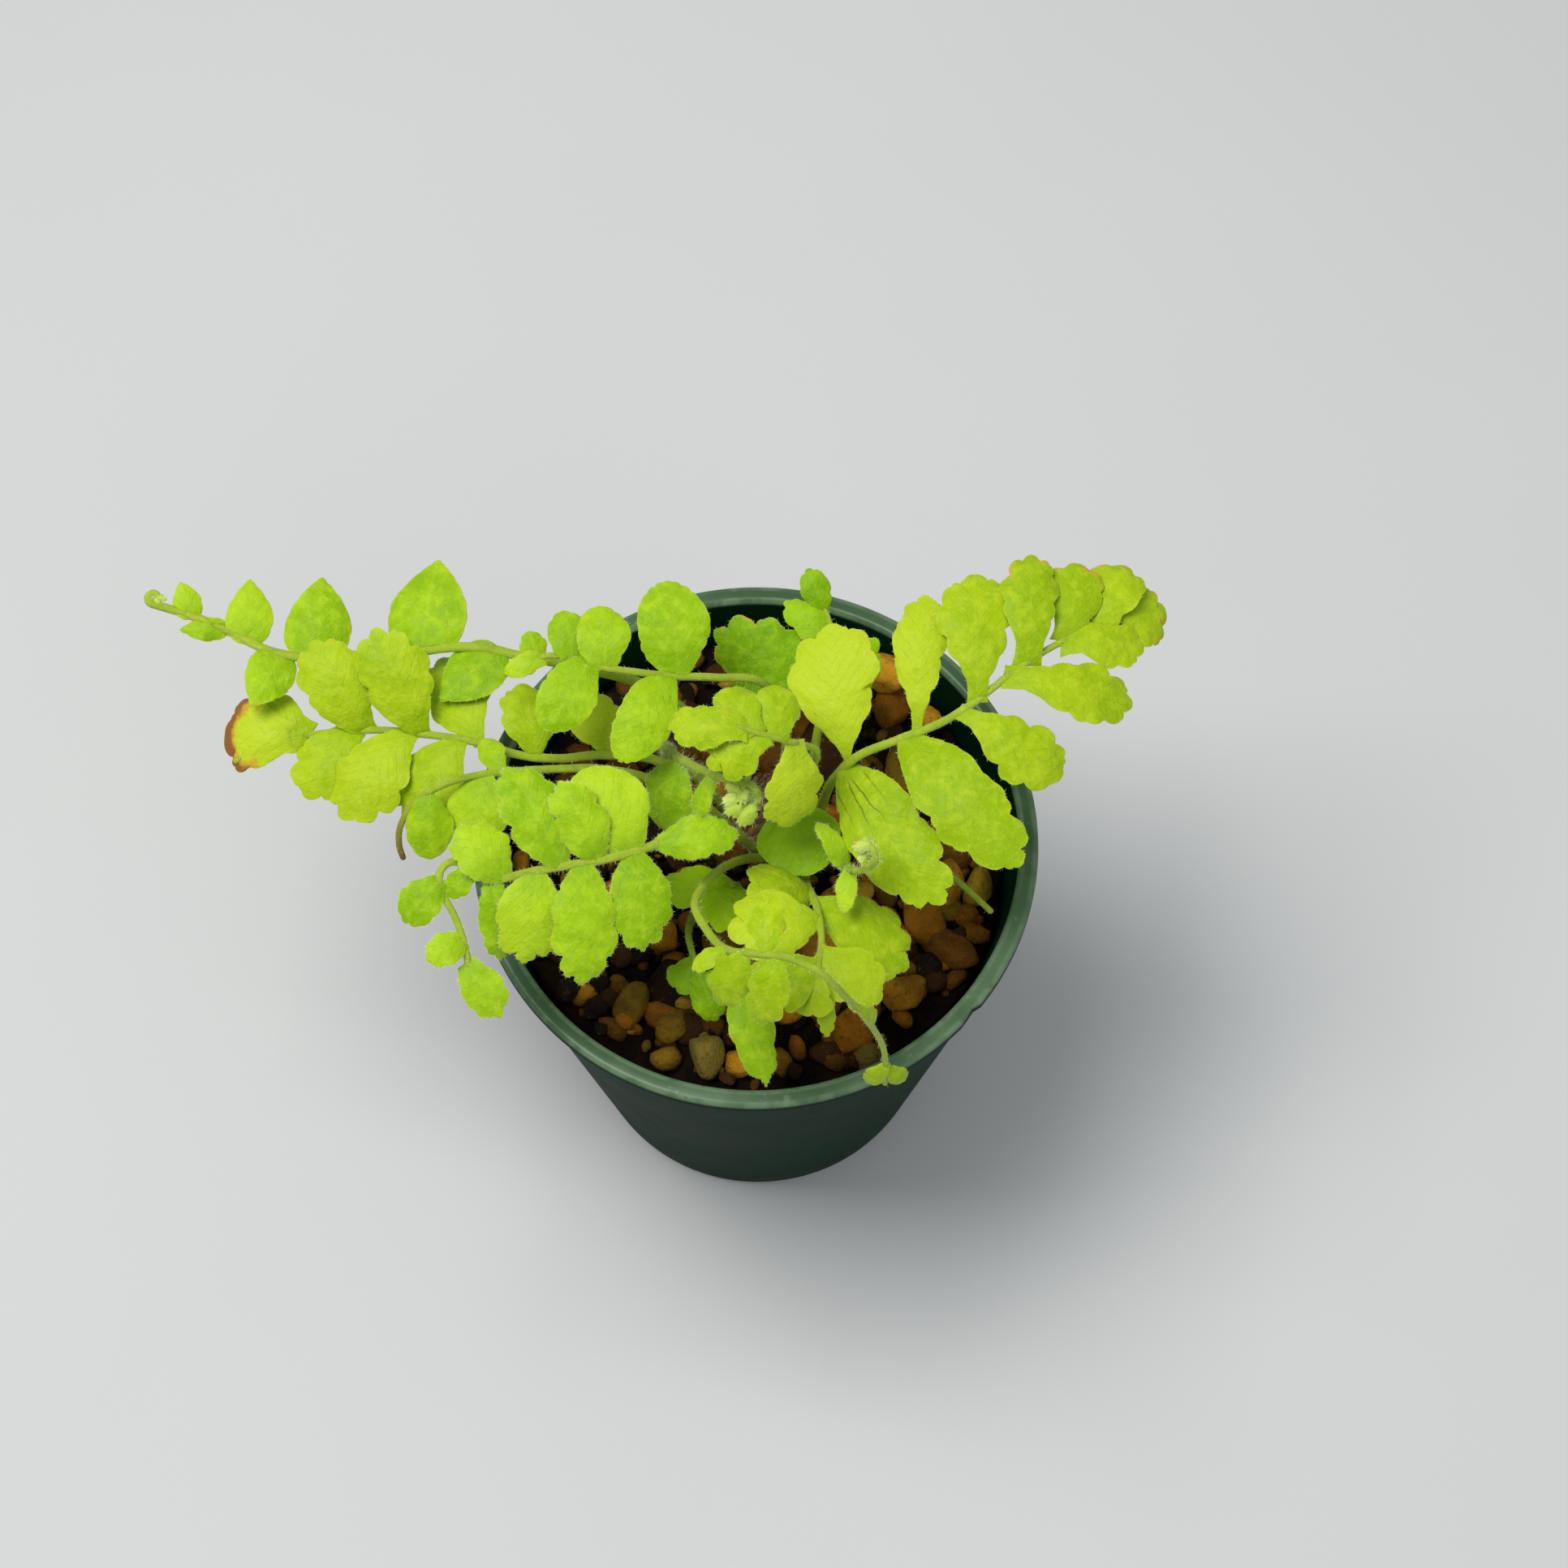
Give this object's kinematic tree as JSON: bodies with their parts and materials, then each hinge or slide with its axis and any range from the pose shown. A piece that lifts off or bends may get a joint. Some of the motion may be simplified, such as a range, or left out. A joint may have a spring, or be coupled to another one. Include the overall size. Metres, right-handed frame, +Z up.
{
  "type": "potted fern",
  "caption": "Young sword fern with lobed and rounded leaflets on arching stems, growing in gritty soil in a small tapered round nursery pot with a flat lip.",
  "frame": {"origin": "centre of the pot's flat underside, where it stands", "axes": "+Z up along the pot's axis; +X to the right and +Y away as the picture sees it, along the length of the spread fronds"},
  "size_m": [0.1177, 0.0662, 0.096],
  "materials": {
    "dark_green_plastic": "smooth moulded plastic, satin, paler and glossier on the lip",
    "soil_and_grit": "damp bark and peat mix with baked clay grit, rough and matt",
    "crown_brown": "fibrous scaly brown",
    "leaf_green": "soft satin leaf with fine hairs",
    "leaf_yellow": "soft satin yellow-green leaf with fine hairs",
    "leaf_deep": "soft satin leaf, deeper green in the shade"
  },
  "bodies": {
    "root": {"pot": "dark_green_plastic", "soil": "soil_and_grit", "crown": "crown_brown", "frond_far_left": "leaf_green", "frond_upper_left": "leaf_green", "frond_back": "leaf_deep", "frond_left_broad": "leaf_yellow", "frond_left_curled": "leaf_green", "frond_front_left": "leaf_green", "frond_young": "leaf_yellow", "frond_woolly": "leaf_green", "frond_right_broad": "leaf_yellow", "frond_front_broad": "leaf_yellow", "frond_front_arching": "leaf_yellow", "frond_front_low": "leaf_green", "frond_round": "leaf_deep", "frond_shade": "leaf_deep", "frond_right_young": "leaf_green", "frond_low_left": "leaf_deep", "shoot_low_right": "leaf_green"}
  },
  "joints": []
}
